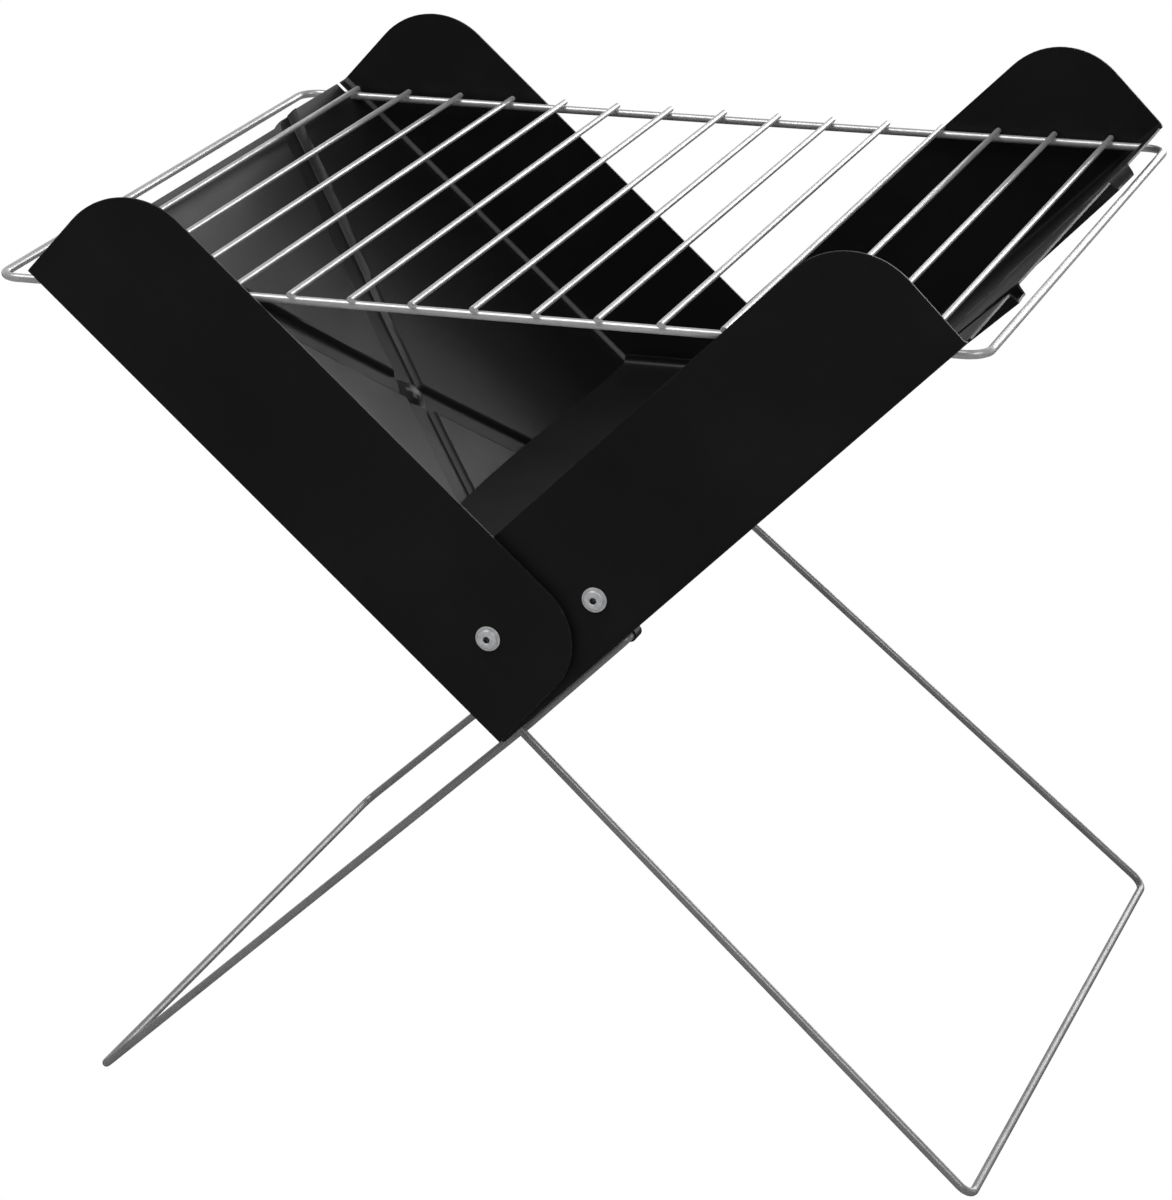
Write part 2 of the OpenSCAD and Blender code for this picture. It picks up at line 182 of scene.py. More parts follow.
def circle(bm, count, point):
    """A ring of vertices; point gives the place for an angle."""
    return [bm.verts.new(point(2 * math.pi * k / count)) for k in range(count)]


def bridge(bm, a, b):
    count = len(a)
    for k in range(count):
        bm.faces.new((a[k], a[(k + 1) % count], b[(k + 1) % count], b[k]))


def around(axis, radius, angle, y):
    """Point at a radius from an axis along Y."""
    return axis[0] + radius * math.cos(angle), y, axis[1] + radius * math.sin(angle)


def hex_radius(flat, angle, turn):
    """Radius of a hexagon with its flats at the distance flat from the centre."""
    return flat / math.cos((angle - turn) % (math.pi / 3) - math.pi / 6)


# ------------------------------------------------------------------ bent sheet
def flat_blank(x0, x1, half):
    bm = bmesh.new()
    corners = ((x0, -half, 0), (x1, -half, 0), (x1, half, 0), (x0, half, 0))
    bm.faces.new([bm.verts.new(p) for p in corners])
    return bm


def cut(bm, point, normal):
    bmesh.ops.bisect_plane(bm, geom=bm.verts[:] + bm.edges[:] + bm.faces[:], dist=1e-5,
                           plane_co=point, plane_no=normal)


def cut_stations(bm, across, along, x0, x1):
    """Cuts at both signs of every station across, then at the stations between x0 and x1."""
    for y in sorted(across):
        for side in ((1, -1) if y > 0 else (1,)):
            cut(bm, (0, side * y, 0), (0, 1, 0))
    for x in sorted(along):
        if x0 < x < x1:
            cut(bm, (x, 0, 0), (1, 0, 0))


def bend_stations(start, arc):
    return {round(start + arc * k / 8, 5) for k in range(9)}


def bend_point(x, across, side, start, radius, base_z):
    """Where a flat point past the start of a bend comes to lie."""
    turned = (across - start) / radius
    y = side * (start + radius * math.sin(turned))
    return x, y, base_z + radius * (1 - math.cos(turned))


def orient(bm, up):
    """Merges what the bends brought together and turns the floor's faces up (1) or down (-1)."""
    bmesh.ops.remove_doubles(bm, verts=bm.verts, dist=0.01)
    bmesh.ops.recalc_face_normals(bm, faces=bm.faces)
    middle = [f for f in bm.faces if abs(f.calc_center_median().y) < 60]
    if sum(f.normal.z for f in middle) * up < 0:
        bmesh.ops.reverse_faces(bm, faces=bm.faces)


# ------------------------------------------------------------------ pressed trays
LIP = 12.5          # strip at the upper edge that takes up the set-back
LIP_SETBACK = 3.2   # how far the middle of the upper edge is set back
LIP_STATIONS = (93, 95, 98, 101, 104, 107, 110, 113, 115)
TAPER_FROM = 25.0   # below the fold, where a shortened cheek starts to draw in
# distances of the cuts from a rib's centre line, and from its lower end
RIB_SIDE_CUTS = (0, 2.2, 4.4, 6.4, 7.0, 7.6, 8.2, 8.8, 9.4, 10.0, 10.6, 11.2, 11.8, 12.4)
RIB_END_CUTS = (0, 1.2, 2.4, 3.6, 4.8, 6.0, 7.5, 9.0)


def tray(name, body, node_name, place, half_width, floor_drop, top, bottom, bottom_r,
         cheek_end, slot_bottom, rib_spread, rack):
    """One sheet, drawn flat with x up the slope from the fold and y across, cut along every
    line its shape needs, then pressed and bent.
    """
    radius = BEND + SHEET
    bend_start = half_width - radius
    arc = radius * math.pi / 2
    bend_end = bend_start + arc
    full = bend_end + CHEEK_H - radius
    cross_x = top - CROSS_FROM_TOP
    rib_angle = math.atan(rib_spread / CROSS_FROM_TOP)
    rib_cos, rib_sin = math.cos(rib_angle), math.sin(rib_angle)
    rib_below = (cross_x + bottom - 14.0) / rib_cos

    def cut_blank():
        bm = flat_blank(-bottom, top, full)
        across = bend_stations(bend_start, arc)
        across |= {float(y) for y in range(0, int(bend_start), 18)}
        across |= {GRATE_HALF - SLOT_HALF, GRATE_HALF + SLOT_HALF, *map(float, LIP_STATIONS)}
        across |= {round(bend_end + (full - bend_end) * k / 8, 5) for k in range(1, 8)}
        along = {slot_bottom, top - LIP, top - 6, top - 2.5}
        for k in range(19):
            sine = math.sin(math.radians(5 * k))
            along.add(round(top - CHEEK_TOP_R + CHEEK_TOP_R * sine, 5))
            along.add(round(-bottom + bottom_r - bottom_r * sine, 5))
        along.update(steps(-bottom + bottom_r, top - CHEEK_TOP_R, 15.0))
        cut_stations(bm, across, along, -bottom, top)
        centre = Vector((cross_x, 0, 0))
        for side in (1, -1):
            rib = Vector((rib_cos, side * rib_sin, 0))
            normal = Vector((-rib.y, rib.x, 0))
            for offset in RIB_SIDE_CUTS:
                for sign in ((1, -1) if offset else (1,)):
                    cut(bm, centre + normal * (offset * sign), normal)
            for offset in RIB_END_CUTS:
                cut(bm, centre - rib * (rib_below - offset), rib)
        # slots for the grate's wire
        slots = []
        for face in bm.faces:
            middle = face.calc_center_median()
            if middle.x > slot_bottom and abs(abs(middle.y) - GRATE_HALF) < SLOT_HALF:
                slots.append(face)
        bmesh.ops.delete(bm, geom=slots, context="FACES")
        return bm

    def dish(x, y):
        """Pressing the cross has drawn the middle of the floor outwards."""
        if abs(y) > DISH_HALF:
            return 0.0
        along = smoothstep((top - x) / 125.0) * smoothstep((x + bottom - 12.0) / 80.0)
        return DISH * along * 0.5 * (1 + math.cos(math.pi * y / DISH_HALF))

    def depth(x, y):
        """How far the floor is pressed out: ribs, round dome and dish."""
        deepest = 0.0
        for side in (1, -1):
            along = (x - cross_x) * rib_cos + y * side * rib_sin
            off = -(x - cross_x) * side * rib_sin + y * rib_cos
            # ribs get wider and deeper towards the top, and run out at their lower ends
            grow = smoothstep((along - 20.0) / 150.0)
            half = 9.3 + 1.9 * grow
            end = smoothstep((rib_below + along) / 9.0)
            wall = smoothstep((half - abs(off)) / 2.3)
            deepest = max(deepest, (2.7 + 2.5 * grow) * wall * end)
        r = math.hypot(x - cross_x, y)
        if r < 8.0:
            # low round dome in the middle of the cross
            deepest = deepest - 3.0 * smoothstep((7.6 - r) / 4.4)
        return deepest + dish(x, y)

    def cheek_height(x):
        height = CHEEK_H
        past_top = x - top + CHEEK_TOP_R
        if past_top > 0:
            rise = math.sqrt(max(CHEEK_TOP_R**2 - past_top**2, 0.0))
            height = CHEEK_H - CHEEK_TOP_R + rise
        if x < -bottom + bottom_r:
            rise = math.sqrt(max(bottom_r**2 - (x + bottom - bottom_r) ** 2, 0.0))
            height = min(height, CHEEK_H - bottom_r + rise)
        return height

    def press(vert):
        x, y = vert.co.x, vert.co.y
        across = abs(y)
        side = 1 if y >= 0 else -1
        if across <= bend_start:
            pressed = depth(x, y)
            if x > top - LIP:
                end = top - LIP_SETBACK * smoothstep((114.5 - across) / 21.0)
                x = top - LIP + (x - top + LIP) * (end - top + LIP) / LIP
            # the sheet isn't perfectly flat
            wave = 0.16 * noise.noise(Vector((x * 0.011, y * 0.011, floor_drop * 1.7)))
            fade = smoothstep((bend_start - across) / 30.0)
            vert.co = (x, y, -floor_drop - pressed + wave * fade)
        elif across < bend_end - 1e-4:
            vert.co = bend_point(x, across, side, bend_start, radius, -floor_drop)
        else:
            height = cheek_height(x)
            k = (across - bend_end) / (full - bend_end)
            if x < -TAPER_FROM and cheek_end < bottom:
                share = min(1.0, (across - bend_end) / 3.0)
                shrink = (x + TAPER_FROM) * (cheek_end - TAPER_FROM) / (bottom - TAPER_FROM)
                x = x * (1 - share) + share * (-TAPER_FROM + shrink)
            vert.co = (x, side * half_width, -floor_drop + radius + k * (height - radius))
        # the blank's upper corner at +Y is a little long
        vert.co.x += rack * smoothstep((y + 60.0) / 253.0) * smoothstep((x - 120.0) / 140.0)

    bm = cut_blank()
    for vert in bm.verts:
        press(vert)
    orient(bm, up=-1)
    # bends and the dome's tip are marked 1; the second skin adds 1 to every index. On the outer
    # tray the second skin's marked faces get a grey coat that paints a highlight.
    for face in bm.faces:
        middle = face.calc_center_median()
        bent = 0.05 < abs(face.normal.y) < 0.995 and abs(middle.y) > bend_start - 0.5
        tip = math.hypot(middle.x - cross_x, middle.y) < 3.6
        face.material_index = 1 if bent or tip else 0
    ob = new_object(name, bm, body, place)
    for _ in range(3):
        ob.data.materials.append(None)
    thicken(ob).material_offset = 1
    bevel(ob, width=0.28, angle=55)
    apply_modifiers(ob)
    smooth_by_angle(ob, 34)
    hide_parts(node_name)
    return ob


AT_FOLD = Matrix.Translation(FOLD)
MIRROR_X = Matrix.Scale(-1, 4, (1, 0, 0))
outer = tray(
    "outer_tray_sheet", "outer", "outer_tray",
    place=AT_FOLD @ MIRROR_X @ Matrix.Rotation(math.radians(-OUTER_SLOPE), 4, "Y"),
    half_width=197.0, floor_drop=35.3, top=266.5, bottom=37.3, bottom_r=32.0,
    cheek_end=37.3, slot_bottom=255.07, rib_spread=113.0, rack=0.0)
inner = tray(
    "inner_tray_sheet", "inner", "inner_tray",
    place=AT_FOLD @ Matrix.Rotation(math.radians(-INNER_SLOPE), 4, "Y"),
    half_width=193.0, floor_drop=40.7, top=265.0, bottom=33.0, bottom_r=32.0,
    cheek_end=31.0, slot_bottom=251.45, rib_spread=101.0, rack=6.0)


# ------------------------------------------------------------------ wire work
def fillet(points, radii, step):
    """Polyline with its inner corners rounded to the given radii."""
    out = [Vector(points[0])]
    for i, radius in enumerate(radii, start=1):
        before, corner, after = (Vector(points[k]) for k in (i - 1, i, i + 1))
        u = (corner - before).normalized()
        v = (after - corner).normalized()
        turn = u.angle(v)
        start = corner - u * (radius * math.tan(turn / 2))
        normal = (v - u * v.dot(u)).normalized()
        centre = start + normal * radius
        count = max(6, int(radius * turn / step))
        for j in range(count + 1):
            angle = turn * j / count
            out.append(centre - normal * radius * math.cos(angle) + u * radius * math.sin(angle))
    out.append(Vector(points[-1]))
    return out


def split_long(points, step=9.0):
    out = [points[0]]
    for a, b in zip(points, points[1:]):
        count = max(1, int((b - a).length / step))
        for j in range(1, count + 1):
            out.append(a.lerp(b, j / count))
    return out


def tube(bm, points, radius, segments, closed=False, chamfer=0.35):
    """Round wire along points; open ends are chamfered."""
    count = len(points)
    tangents = []
    for i in range(count):
        a = points[(i - 1) % count] if closed or i > 0 else points[i]
        b = points[(i + 1) % count] if closed or i < count - 1 else points[i]
        tangents.append((b - a).normalized())
    first = tangents[0]
    up = Vector((0, 0, 1)) if abs(first.z) < 0.9 else Vector((1, 0, 0))
    normal = (up - first * up.dot(first)).normalized()
    rings = []

    def ring(centre, r):
        side = tangent.cross(normal).normalized()
        rings.append(circle(bm, segments, lambda angle: centre + (
            normal * math.cos(angle) + side * math.sin(angle)) * r))

    for i, (point, tangent) in enumerate(zip(points, tangents)):
        normal = (normal - tangent * normal.dot(tangent)).normalized()
        if not closed and i == 0:
            ring(point, radius - chamfer)
            ring(point + tangent * chamfer * 0.8, radius)
        elif not closed and i == count - 1:
            ring(point - tangent * chamfer * 0.8, radius)
            ring(point, radius - chamfer)
        else:
            ring(point, radius)
    for a, b in zip(rings, rings[1:] + (rings[:1] if closed else [])):
        bridge(bm, a, b)
    if not closed:
        bm.faces.new(list(reversed(rings[0])))
        bm.faces.new(rings[-1])


def wire_object(name, bm, body, node_name):
    bmesh.ops.recalc_face_normals(bm, faces=bm.faces)
    ob = new_object(name, bm, body)
    smooth_by_angle(ob, 40)
    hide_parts(node_name)
    return ob


def leg(name, body, node_name, pivot, slope, tilt, straight, top_half, foot_half, sign):
    """U of wire: straight along the tray, then shallower by tilt down to the foot. Its upper
    ends turn in at the pivot. sign is +1 when the foot lies towards +X.
    """
    def direction(angle):
        return Vector((sign * math.cos(math.radians(angle)), 0, -math.sin(math.radians(angle))))

    turned_in = 15.0
    lower_slope = slope - tilt
    kink = pivot + direction(slope) * straight
    lower = (kink.z - (FOLD.z - FOOT_DROP)) / math.sin(math.radians(lower_slope))
    foot = kink + direction(lower_slope) * lower
    kink_half = top_half + (foot_half - top_half) * straight / (straight + lower)
    y = Vector((0, 1, 0))
    corners = [pivot + y * (top_half - turned_in), pivot + y * top_half, kink + y * kink_half,
               foot + y * foot_half, foot - y * foot_half, kink - y * kink_half,
               pivot - y * top_half, pivot - y * (top_half - turned_in)]
    bm = bmesh.new()
    path = split_long(fillet(corners, radii=[5, 30, 7, 7, 30, 5], step=0.7))
    tube(bm, path, WIRE_R, 22)
    return wire_object(name, bm, body, node_name)


wide = leg("wide_leg_wire", "wide", "wide_leg", WIDE_PIVOT, OUTER_SLOPE, tilt=0.87,
           straight=68.9, top_half=162.9, foot_half=187.5, sign=1)
narrow = leg("narrow_leg_wire", "narrow", "narrow_leg", NARROW_PIVOT, INNER_SLOPE, tilt=1.9,
             straight=64.6, top_half=158.0, foot_half=178.5, sign=-1)

# ------------------------------------------------------------------ grate
ROD_PITCH = (GRATE_X1 - GRATE_X0) / (RODS + 1)
ROD_X = [GRATE_X0 + (i + 1) * ROD_PITCH for i in range(RODS)]
ROD_SINK = 0.35   # how far the rods sink into the ring


def grate_ring():
    """Rectangular ring that starts and ends in the middle of its front side."""
    middle = 0.5 * (GRATE_X0 + GRATE_X1)
    corners = [(middle, -GRATE_HALF, GRATE_Z),
               (GRATE_X1, -GRATE_HALF, GRATE_Z), (GRATE_X1, GRATE_HALF, GRATE_Z),
               (GRATE_X0, GRATE_HALF, GRATE_Z), (GRATE_X0, -GRATE_HALF, GRATE_Z),
               (middle - 0.05, -GRATE_HALF, GRATE_Z)]
    bm = bmesh.new()
    path = split_long(fillet(corners, radii=[10] * 4, step=0.9))
    tube(bm, path[:-1], WIRE_R, 22, closed=True)
    return wire_object("grate_ring_wire", bm, "grate", "grate_frame")


def grate_rods():
    rod_z = GRATE_Z + WIRE_R + ROD_R - ROD_SINK
    end = GRATE_HALF + WIRE_R + ROD_R
    bm = bmesh.new()
    for x in ROD_X:
        path = split_long([Vector((x, -end, rod_z)), Vector((x, end, rod_z))], 8.0)
        tube(bm, path, ROD_R, 18, chamfer=0.4)
    return wire_object("grate_cross_rods", bm, "grate", "grate_rods")


def weld_bead(bm, index, x, side):
    """Uneven little torus round the contact of a rod and the ring."""
    around_count, tube_count = 16, 7
    rows = []
    for a in range(around_count):
        angle = 2 * math.pi * a / around_count
        cos, sin = math.cos(angle), math.sin(angle)
        uneven = 1.0 + 0.12 * noise.noise(Vector((x * 0.37 + cos, side * 3 + sin, 1.7 * index)))
        row = []
        for b in range(tube_count):
            turn = 2 * math.pi * b / tube_count
            r = 1.25 * uneven + 0.55 * math.cos(turn)
            z = GRATE_Z + 1.78 + 0.42 * math.sin(turn) - 0.18 * abs(sin)
            row.append(bm.verts.new((x + r * cos * 0.95, side * GRATE_HALF + r * sin * 1.05, z)))
        rows.append(row)
    for row, after in zip(rows, rows[1:] + rows[:1]):
        for b in range(tube_count):
            c = (b + 1) % tube_count
            bm.faces.new((row[b], after[b], after[c], row[c]))


def grate_welds():
    bm = bmesh.new()
    for i, x in enumerate(ROD_X):
        for side in (-1, 1):
            weld_bead(bm, i, x, side)
    bmesh.ops.recalc_face_normals(bm, faces=bm.faces)
    ob = new_object("grate_weld_beads", bm, "grate")
    for face in ob.data.polygons:
        face.use_smooth = True
    return ob


grate = [grate_ring(), grate_rods(), grate_welds()]

# ------------------------------------------------------------------ bolts and nuts
SHANK_R, THREAD_ROOT_R, THREAD_PITCH = 2.5, 2.14, 0.8
SOCKET_R = 1.735
NUT_THICK = 3.2
NUT_FLAT = 4.0       # centre to flat
NUT_CORNER = 4.55    # radius that trims the corners
NUT_FACE_R = 3.84    # flat ring inside the chamfer


def lathe(bm, profile, axis, seat, out):
    """Turns (radius, height) pairs about an axis along Y; height runs from seat towards out."""
    rings = []
    for radius, height in profile:
        y = seat + out * height
        if radius < 1e-6:
            rings.append([bm.verts.new((axis[0], y, axis[1]))])
        else:
            rings.append(circle(bm, 56, lambda angle: around(axis, radius, angle, y)))
    for a, b in zip(rings, rings[1:]):
        if len(a) > 1 and len(b) > 1:
            bridge(bm, a, b)
            continue
        for k in range(56):
            after = (k + 1) % 56
            bm.faces.new((a[0], b[k], b[after]) if len(a) == 1 else (a[k], a[after], b[0]))


def bolt_profile(head, tip):
    """(radius, height above the seat) from the middle of the head to the tip of the shank."""
    rim = 1.15
    profile = [(0.0, head), (1.2, head), (2.3, head)]
    # dome
    for k in range(1, 9):
        angle = math.radians(90 * k / 8)
        profile.append((2.6 + 2.1 * math.sin(angle), rim + (head - rim) * math.cos(angle) ** 0.8))
    # small fillet, then the flange with its rolled edge
    profile += [(4.78, 1.02), (4.95, 0.94), (5.3, 0.88), (5.62, 0.8)]
    for k in range(1, 6):
        angle = math.radians(36 * k)
        profile.append((5.62 + 0.28 * math.sin(angle), 0.42 + 0.38 * math.cos(angle)))
    profile += [(5.5, 0.0), (SHANK_R, 0.0)]
    for y in steps(0.0, tip - 1.0, THREAD_PITCH):
        profile += [(SHANK_R, -y - 0.06), (SHANK_R, -y - 0.16),
                    (THREAD_ROOT_R, -y - 0.42), (THREAD_ROOT_R, -y - 0.54)]
    return profile + [(2.4, -(tip - 0.5)), (1.9, -tip), (0.0, -tip)]


def socket_cutter(axis, seat, out, head, turn):
    """Hexagon socket with a countersunk mouth and a drilled point."""
    bm = bmesh.new()
    # height above the seat, radius, hexagonal or round
    stations = ((head + 0.4, 2.35, False), (head - 0.22, 1.76, False),
                (head - 0.23, SOCKET_R, True), (head - 1.6, SOCKET_R, True),
                (head - 1.62, 1.4, False))
    rows = []
    for height, radius, hexagonal in stations:
        flat = radius * math.cos(math.pi / 6)
        rows.append(circle(bm, 36, lambda angle: around(
            axis, hex_radius(flat, angle, turn) if hexagonal else radius, angle,
            seat + out * height)))
    point = bm.verts.new((axis[0], seat + out * (head - 2.0), axis[1]))
    for a, b in zip(rows, rows[1:]):
        bridge(bm, a, b)
    for k in range(36):
        bm.faces.new((rows[-1][k], rows[-1][(k + 1) % 36], point))
    bm.faces.new(rows[0])
    return bm


def flange_bolt(name, body, node_name, head, turn):
    """Button-head bolt with a flange, a hexagon socket and a threaded shank."""
    low, high = cad(node_name)
    axis = cad_axis(node_name)
    if node_name.endswith("front"):
        seat, out = low.y + head, -1
        tip = high.y - seat
    else:
        seat, out = high.y - head, 1
        tip = seat - low.y
    bm = bmesh.new()
    lathe(bm, bolt_profile(head, tip), axis, seat, out)
    bmesh.ops.remove_doubles(bm, verts=bm.verts, dist=1e-5)
    bmesh.ops.recalc_face_normals(bm, faces=bm.faces)
    ob = new_object(name, bm, body)
    socket = socket_cutter(axis, seat, out, head, turn)
    cutter = subtract(ob, name + "_cut", socket, use_self=True)
    apply_modifiers(ob)
    bpy.data.objects.remove(cutter)
    smooth_by_angle(ob, 30)
    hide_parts(node_name)
    return ob


def hex_nut(name, body, node_name, collar, turn):
    """Hexagon nut with chamfered corners; a collar makes it a lock nut with its ring."""
    low, high = cad(node_name)
    axis = cad_axis(node_name)
    seat, out = (low.y, 1) if node_name.endswith("front") else (high.y, -1)
    total = NUT_THICK + collar
    bm = bmesh.new()

    def ring(radius, height, chamfer=0):
        """Without a radius it follows the hexagon; chamfer is the way its corners drop."""
        def point(angle):
            r = radius or min(hex_radius(NUT_FLAT, angle, turn), NUT_CORNER)
            drop = chamfer * (r - NUT_FACE_R) * math.tan(math.radians(30))
            return around(axis, r, angle, seat + out * (height + drop))
        return circle(bm, 72, point)

    rings = [ring(2.55, 0.35), ring(2.9, 0.0), ring(NUT_FACE_R, 0.0), ring(None, 0.0, 1),
             ring(None, NUT_THICK, -1), ring(NUT_FACE_R, NUT_THICK)]
    if collar > 0:
        rings += [ring(3.76, NUT_THICK + 0.05), ring(3.73, total - 0.5)]
        for k in range(1, 5):
            angle = math.radians(22.5 * k)
            rings.append(ring(3.23 + 0.5 * math.cos(angle), total - 0.5 + 0.5 * math.sin(angle)))
        rings += [ring(3.1, total), ring(3.05, total - 0.5), ring(2.53, total - 0.55)]
    else:
        rings += [ring(2.9, NUT_THICK), ring(2.55, NUT_THICK - 0.35)]
    for a, b in zip(rings, rings[1:] + rings[:1]):
        bridge(bm, a, b)
    bmesh.ops.recalc_face_normals(bm, faces=bm.faces)
    ob = new_object(name, bm, body)
    smooth_by_angle(ob, 26)
    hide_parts(node_name)
    return ob


hardware = []
for side, degrees in (("front", 17), ("rear", 52)):
    hardware += [
        flange_bolt("pivot_screw_" + side, "outer", "pivot_bolt_" + side,
                    head=2.75, turn=math.radians(degrees)),
        flange_bolt("plate_screw_" + side, "inner", "plate_bolt_" + side,
                    head=2.6, turn=math.radians(degrees + 31)),
        hex_nut("pivot_locknut_" + side, "outer", "pivot_nut_" + side, collar=1.8, turn=0.2),
        hex_nut("plate_hexnut_" + side, "inner", "plate_nut_" + side, collar=0.0, turn=0.45),
    ]

# ------------------------------------------------------------------ charcoal plate
PLATE_BEND = 2.6      # radius inside the plate's bends
PLATE_SIDE_H = 5.6    # height of the bent-up sides
EAR_R = 6.0           # rounding of the hinge ears
AIR_HOLE_R, AIR_HOLE_X = 5.0, (-22.0, 6.0, 34.0)
PIN_HOLE_R = 2.56


def drill(bm, start, end, radius):
    """Adds a cylinder from start to end."""
    axis = (end - start).normalized()
    u = axis.orthogonal().normalized()
    v = axis.cross(u)
    a, b = [circle(bm, 32, lambda angle: centre + (u * math.cos(angle) + v * math.sin(angle))
                   * radius) for centre in (start, end)]
    bridge(bm, a, b)
    bm.faces.new(list(reversed(a)))
    bm.faces.new(b)


def charcoal_plate():
    """One blank, drawn flat and bent up at both sides, with hinge ears and drilled holes."""
    low, high = cad("coal_plate")
    pin_x, pin_z = cad_axis("plate_bolt_front")
    floor_z = low.z + SHEET
    half_width = high.y
    bend_start = half_width - (PLATE_BEND + SHEET)
    arc = PLATE_BEND * math.pi / 2
    bend_end = bend_start + arc
    ear_height = pin_z - low.z
    full = bend_end + 10.0

    def side_height(x):
        from_pin = abs(x - pin_x)
        if from_pin <= EAR_R:
            return ear_height + math.sqrt(max(EAR_R**2 - from_pin * from_pin, 0.0))
        base = PLATE_SIDE_H
        # the corners of the sides are rounded off
        for end in (x - low.x, high.x - x):
            if end < 3.0:
                drop = 1 - math.sqrt(max(1 - (1 - end / 3.0) ** 2, 0.0))
                base = PLATE_SIDE_H - 1.6 * drop
        return base + (ear_height - base) * (1 - smoothstep((from_pin - EAR_R) / 1.2)) ** 3

    def press(vert):
        x, y = vert.co.x, vert.co.y
        across = abs(y)
        side = 1 if y >= 0 else -1
        if across <= bend_start + 1e-6:
            # the -X edge follows the drawn-out floor of the outer tray
            bow = 4.0 * 0.5 * (1 + math.cos(math.pi * min(across, 168.0) / 168.0))
            bow *= smoothstep((low.x + 26.0 - x) / 26.0)
            # the middle sags a little from heat
            sag = -0.5 * smoothstep((bend_start - across) / 60.0)
            sag *= math.sin(math.pi * (x - low.x) / (high.x - low.x))
            wave = 0.15 * noise.noise(Vector((x * 0.03, y * 0.02, 5.0)))
            sag += wave * smoothstep((bend_start - across) / 30.0)
            vert.co = (x - bow, y, floor_z + sag)
        elif across < bend_end - 1e-4:
            vert.co = bend_point(x, across, side, bend_start, PLATE_BEND, floor_z)
        else:
            k = (across - bend_end) / (full - bend_end)
            z = floor_z + PLATE_BEND + k * (side_height(x) - SHEET - PLATE_BEND)
            vert.co = (x, side * (half_width - SHEET), z)

    bm = flat_blank(low.x, high.x, full)
    across = {float(y) for y in range(0, int(bend_start), 12)} | bend_stations(bend_start, arc)
    across |= {bend_end + y for y in (2.0, 4.0, 6.0, 8.0)}
    along = {low.x + 1.0, low.x + 3.0, high.x - 1.0, high.x - 3.0}
    along.update(steps(low.x + 10, high.x - 5, 10.0))
    along |= {pin_x - EAR_R * math.cos(math.pi * k / 24) for k in range(25)}
    for x in (6.12, 6.35, 6.7, 7.2, 8.0):
        along |= {pin_x - x, pin_x + x}
    cut_stations(bm, across, along, low.x, high.x)
    for vert in bm.verts:
        press(vert)
    orient(bm, up=1)
    ob = new_object("charcoal_plate_sheet", bm, "plate")
    thicken(ob)
    holes = bmesh.new()
    for x in AIR_HOLE_X:
        for y in range(-150, 151, 50):
            drill(holes, Vector((FOLD.x + x, y, floor_z - 4)),
                  Vector((FOLD.x + x, y, floor_z + 4)), AIR_HOLE_R)
    for side in (-1, 1):
        drill(holes, Vector((pin_x, side * (half_width - 5), pin_z)),
              Vector((pin_x, side * (half_width + 4), pin_z)), PIN_HOLE_R)
    cutter = subtract(ob, "plate_drills", holes)
    bevel(ob, width=0.25, angle=50)
    apply_modifiers(ob)
    bpy.data.objects.remove(cutter)
    smooth_by_angle(ob, 34)
    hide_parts("coal_plate")
    return ob


plate = charcoal_plate()

# CAD nodes that stay get their edges eased
kept = ["wide_clip_rivets", "narrow_clip_rivets"]
for part in ("wide_clip", "narrow_clip", "pivot_spacer", "pivot_washer", "plate_washer"):
    kept += [part + "_front", part + "_rear"]
for node_name in kept:
    ob = frame["nodes"][node_name]
    bevel(ob, width=0.2, angle=38)
    ob.modifiers.new("weighted", "WEIGHTED_NORMAL").keep_sharp = False


# ------------------------------------------------------------------ shader helpers
def rgba(value):
    """One number makes a grey."""
    return (value, value, value, 1) if isinstance(value, (int, float)) else (*value, 1)


def node(tree, kind, inputs=None, **settings):
    """Adds a shader node; each input takes a socket to link or a value."""
    made = tree.nodes.new("ShaderNode" + kind)
    for key, value in settings.items():
        setattr(made, key, value)
    for key, value in (inputs or {}).items():
        socket = made.inputs[key]
        if isinstance(value, bpy.types.NodeSocket):
            tree.links.new(value, socket)
        else:
            socket.default_value = rgba(value) if socket.type == "RGBA" else value
    return made


def empty_tree(owner):
    owner.use_nodes = True
    owner.node_tree.nodes.clear()
    return owner.node_tree


def new_material(name):
    """A material, its empty node tree and object coordinates."""
    material = bpy.data.materials.new(name)
    tree = empty_tree(material)
    return material, tree, node(tree, "TexCoord").outputs["Object"]


def surface(tree, shader):
    node(tree, "OutputMaterial", {"Surface": shader.outputs[0]})


def noise_texture(tree, coords, scale, detail, roughness=0.5):
    return node(tree, "TexNoise", {"Vector": coords, "Scale": scale, "Detail": detail,
                                   "Roughness": roughness}).outputs["Fac"]


def cell_distance(tree, coords, scale):
    return node(tree, "TexVoronoi", {"Vector": coords, "Scale": scale}).outputs["Distance"]


def ramp(tree, source, stops):
    """Colour ramp through (position, colour) stops."""
    made = node(tree, "ValToRGB", {0: source})
    elements = made.color_ramp.elements
    while len(elements) < len(stops):
        elements.new(0.5)
    for element, (position, color) in zip(elements, stops):
        element.position = position
        element.color = rgba(color)
    return made.outputs[0]


def calc(tree, operation, a, b, clamp=False):
    return node(tree, "Math", {0: a, 1: b}, operation=operation, use_clamp=clamp).outputs[0]


def mix_color(tree, factor, a, b, blend="MIX"):
    return node(tree, "Mix", {0: factor, 6: a, 7: b}, data_type="RGBA",
                blend_type=blend).outputs[2]


def bump(tree, height, strength, distance):
    return node(tree, "Bump", {"Height": height, "Strength": strength,
                               "Distance": distance}).outputs[0]


